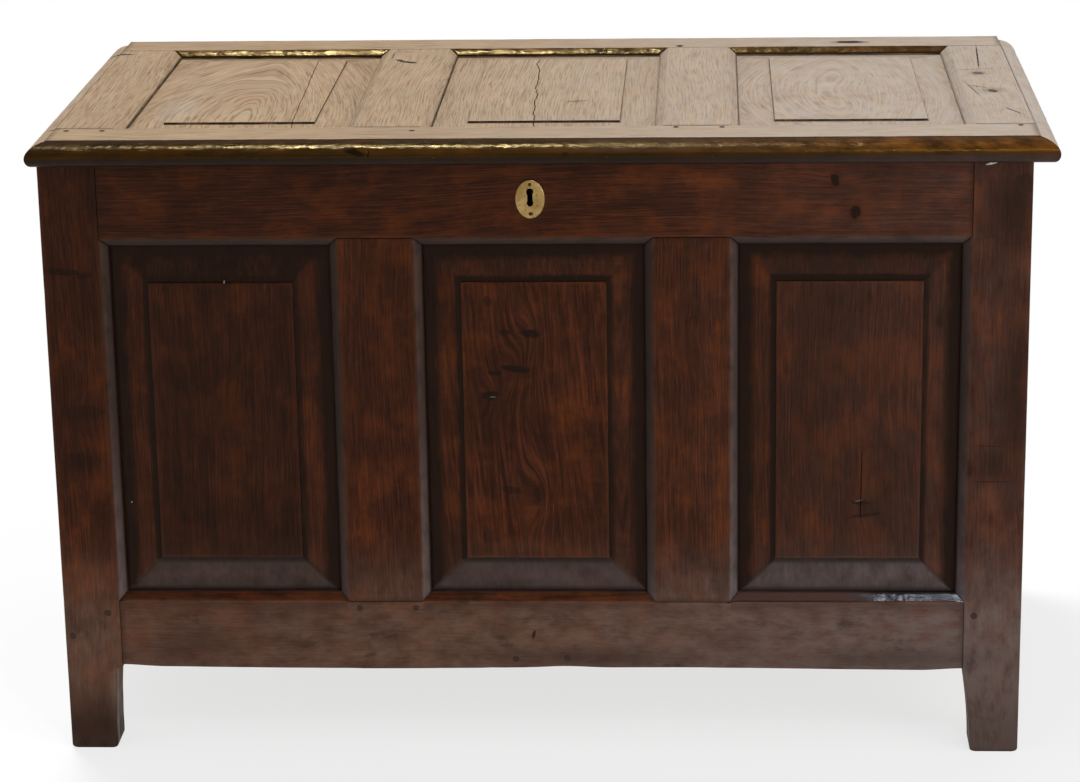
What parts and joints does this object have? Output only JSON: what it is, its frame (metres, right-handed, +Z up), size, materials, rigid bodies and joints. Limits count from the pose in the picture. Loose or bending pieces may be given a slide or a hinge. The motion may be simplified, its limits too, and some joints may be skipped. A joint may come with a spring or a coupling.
{
  "type": "panelled storage chest",
  "caption": "Joined oak coffer with fielded panels in front, ends and hinged lid, moulded lid edge, stile feet, strap hinges, an oval keyhole plate and a chest lock.",
  "frame": {"origin": "on the floor, under the middle of the closed lid's outline", "axes": "+X to the coffer's right as seen from the front, +Y from the front to the back, +Z up"},
  "size_m": [1.136, 0.588, 0.7268],
  "materials": {
    "front_oak": "dark waxed oak, satin",
    "lid_oak": "dry worn pale oak, matte",
    "moulding_oak": "polished oak, semi-gloss",
    "inner_oak": "unpolished oak, matte",
    "iron": "forged iron, dark",
    "brass": "aged brass"
  },
  "bodies": {
    "carcass": {"back_bottom_rail": "inner_oak", "back_ledger": "inner_oak", "back_left_stile": "front_oak", "back_muntin_left": "inner_oak", "back_muntin_right": "inner_oak", "back_panel_centre": "inner_oak", "back_panel_left": "inner_oak", "back_panel_right": "inner_oak", "back_right_stile": "front_oak", "back_top_rail": "inner_oak", "bottom_board_1": "inner_oak", "bottom_board_2": "inner_oak", "bottom_board_3": "inner_oak", "bottom_board_4": "inner_oak", "bottom_board_5": "inner_oak", "escutcheon": "brass", "escutcheon_pin": "brass", "front_bottom_rail": "front_oak", "front_ledger": "inner_oak", "front_left_stile": "front_oak", "front_muntin_left": "front_oak", "front_muntin_right": "front_oak", "front_panel_centre": "front_oak", "front_panel_left": "front_oak", "front_panel_right": "front_oak", "front_right_stile": "front_oak", "front_top_rail": "front_oak", "left_bottom_rail": "front_oak", "left_hinge_pin": "iron", "left_hinge_tail": "iron", "left_muntin": "front_oak", "left_panel_back": "front_oak", "left_panel_front": "front_oak", "left_top_rail": "front_oak", "lock_cover": "iron", "lock_plate": "iron", "right_bottom_rail": "front_oak", "right_hinge_pin": "iron", "right_hinge_tail": "iron", "right_muntin": "front_oak", "right_panel_back": "front_oak", "right_panel_front": "front_oak", "right_top_rail": "front_oak"},
    "lid": {"left_hinge_strap": "iron", "lid_back_rail": "lid_oak", "lid_front_moulding": "moulding_oak", "lid_front_rail": "lid_oak", "lid_left_moulding": "moulding_oak", "lid_left_stile": "lid_oak", "lid_muntin_left": "lid_oak", "lid_muntin_right": "lid_oak", "lid_panel_centre": "lid_oak", "lid_panel_left": "lid_oak", "lid_panel_right": "lid_oak", "lid_right_moulding": "moulding_oak", "lid_right_stile": "lid_oak", "lid_staple": "iron", "right_hinge_strap": "iron"},
    "lock_bolt": {"lock_bolt": "iron"}
  },
  "joints": [
    {"name": "lid_hinge", "type": "hinge", "parent": "carcass", "child": "lid", "pos_m": [0, 0.2873, 0.7], "axis": [-1, 0, 0], "range_deg": [0, 100]},
    {"name": "bolt_slide", "type": "slide", "parent": "carcass", "child": "lock_bolt", "axis": [-1, 0, 0], "range_m": [0, 0.016]}
  ]
}
